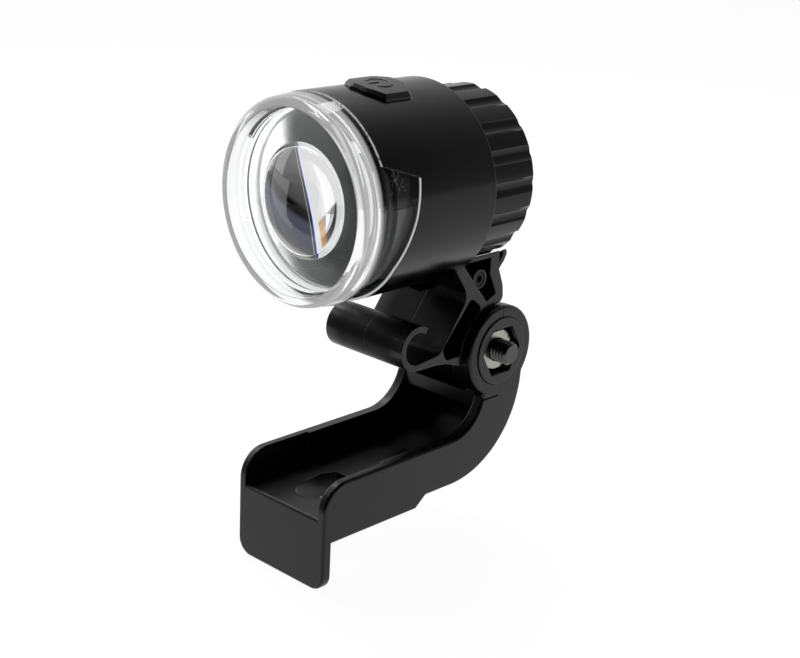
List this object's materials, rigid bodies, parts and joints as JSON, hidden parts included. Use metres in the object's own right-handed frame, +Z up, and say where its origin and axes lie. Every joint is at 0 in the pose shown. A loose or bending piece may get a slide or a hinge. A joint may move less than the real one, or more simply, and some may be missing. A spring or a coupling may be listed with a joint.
{
  "type": "bicycle headlight",
  "caption": "Round battery bicycle headlight with projector lens and top button, on a truss bracket with a tilt pivot and a channel-shaped mounting arm.",
  "frame": {"origin": "centre of the flat seat under the mounting arm's plate, behind the bolt slot", "axes": "+Z up, -Y the way the lamp shines, +X across, towards the nut side"},
  "size_m": [0.049, 0.0718, 0.117],
  "materials": {
    "clear_plastic": "clear moulded polycarbonate, polished",
    "lens_glass": "clear optical lens, polished",
    "rubber": "black rubber ring",
    "silver_coating": "silver coated moulded plastic",
    "black_plastic": "satin black moulded nylon",
    "button_black": "matt black button",
    "grey_plastic": "pale grey moulded plastic",
    "led_package": "clear dome over a yellow phosphor",
    "aluminium": "machined aluminium",
    "circuit_board": "green coated glass-epoxy board",
    "ferrite": "dark ferrite and moulded chips",
    "cell_can": "nickel-plated can",
    "spring_steel": "nickel-plated spring steel",
    "black_steel": "blackened steel screws",
    "bolt_steel": "plain dark steel",
    "zinc_steel": "bright zinc-plated steel"
  },
  "bodies": {
    "base": {"lower_bracket": "black_plastic", "bearing_cap": "black_plastic", "bearing_cap_screws": "black_steel"},
    "lamp": {"lens_cap": "clear_plastic", "lens_seal": "rubber", "projector_lens": "lens_glass", "inner_bezel": "silver_coating", "lens_holder": "black_plastic", "optics_frame": "black_plastic", "side_reflector": "grey_plastic", "led": "led_package", "led_board": "aluminium", "heat_sink": "aluminium", "driver_board": "circuit_board", "driver_parts": "ferrite", "switch_board": "circuit_board", "power_switch": "black_plastic", "lamp_body": "black_plastic", "battery_carrier": "black_plastic", "battery_cells": "cell_can", "front_contacts": "spring_steel", "rear_contact_plate": "spring_steel", "bracket_half_near": "black_plastic", "bracket_half_far": "black_plastic", "bracket_screw": "black_steel", "pivot_bolt": "bolt_steel", "pivot_nut": "zinc_steel"},
    "button": {"power_button": "button_black", "switch_plunger": "black_plastic"},
    "cap_carriage": {"cap_seal": "rubber"},
    "cap": {"rear_cap": "black_plastic", "cap_contact": "spring_steel"}
  },
  "joints": [
    {"name": "lamp_tilt", "type": "hinge", "parent": "base", "child": "lamp", "pos_m": [0, 0.0325, 0.0351], "axis": [1, 0, 0], "range_deg": [-30, 30]},
    {"name": "button_press", "type": "slide", "parent": "lamp", "child": "button", "axis": [-0.1426, 0, -0.9898], "range_m": [0, 0.0004], "stiffness_N_per_m": 4000, "springref_m": -0.0001},
    {"name": "cap_draw", "type": "slide", "parent": "lamp", "child": "cap_carriage", "axis": [0, 1, 0], "range_m": [0, 0.003]},
    {"name": "cap_turn", "type": "hinge", "parent": "cap_carriage", "child": "cap", "pos_m": [0, 0, 0.0789], "axis": [0, 1, 0], "range_deg": [0, 720]}
  ],
  "couplings": [
    {"joint": "cap_draw", "follows": "cap_turn", "m_per_rad": 0.00023873}
  ]
}
